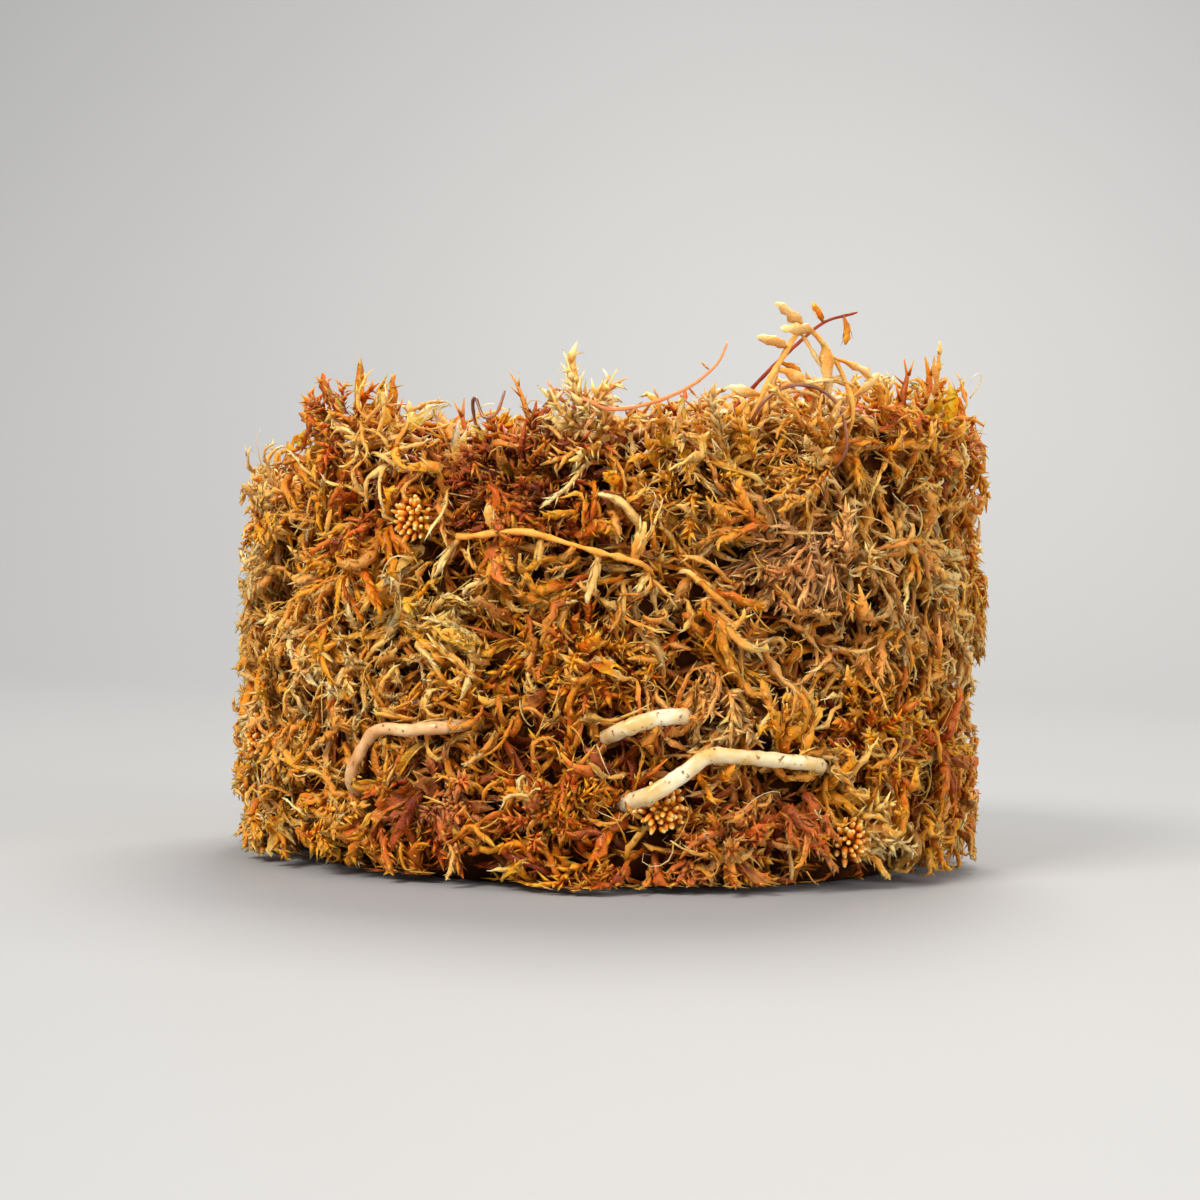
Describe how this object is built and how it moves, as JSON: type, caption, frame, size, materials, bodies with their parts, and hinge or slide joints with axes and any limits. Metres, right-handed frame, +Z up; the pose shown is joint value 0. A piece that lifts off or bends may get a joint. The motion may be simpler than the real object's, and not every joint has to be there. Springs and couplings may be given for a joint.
{
  "type": "sphagnum moss clump",
  "caption": "Round clump of packed, damp sphagnum moss with leafy tufts, bud heads, caught roots and twigs, and a pressed flat underside.",
  "frame": {"origin": "middle of the flat underside", "axes": "+Z up, out of the top; -Y is the front that the picture shows; +X is its right"},
  "size_m": [0.1165, 0.1166, 0.0818],
  "materials": {
    "straw": "satin",
    "pale_straw": "satin",
    "gold": "satin",
    "orange": "satin",
    "rust": "satin",
    "dark_red": "satin",
    "pink": "satin",
    "bud": "satin",
    "thread_red": "satin",
    "root_white": "satin",
    "root_tan": "satin",
    "twig": "satin"
  },
  "bodies": {
    "root": {"moss_mass": "straw", "dark_red_head": "dark_red", "golden_tuft": "gold", "orange_tuft_middle": "orange", "pink_tuft": "pink", "rust_tuft_front": "rust", "rust_tuft_low": "rust", "red_tuft_left": "thread_red", "straw_tuft_left": "pale_straw", "brown_tuft_left": "rust", "rust_tuft_right": "orange", "amber_tuft_right": "orange", "golden_tuft_side": "gold", "straw_tuft_back": "pale_straw", "orange_tuft_back": "orange", "dark_red_head_back": "dark_red", "golden_tuft_back": "gold", "bud_head_left": "bud", "bud_head_front": "bud", "bud_head_right": "bud", "bud_head_side": "bud", "top_tuft_orange": "orange", "top_tuft_gold": "gold", "root_long": "root_white", "root_short": "root_white", "root_left": "root_tan", "salmon_thread": "thread_red", "brown_twig_arch": "twig", "brown_twig_bent": "twig", "straw_stem": "straw", "straw_shoot_loop": "pale_straw", "red_twig": "twig"}
  },
  "joints": []
}
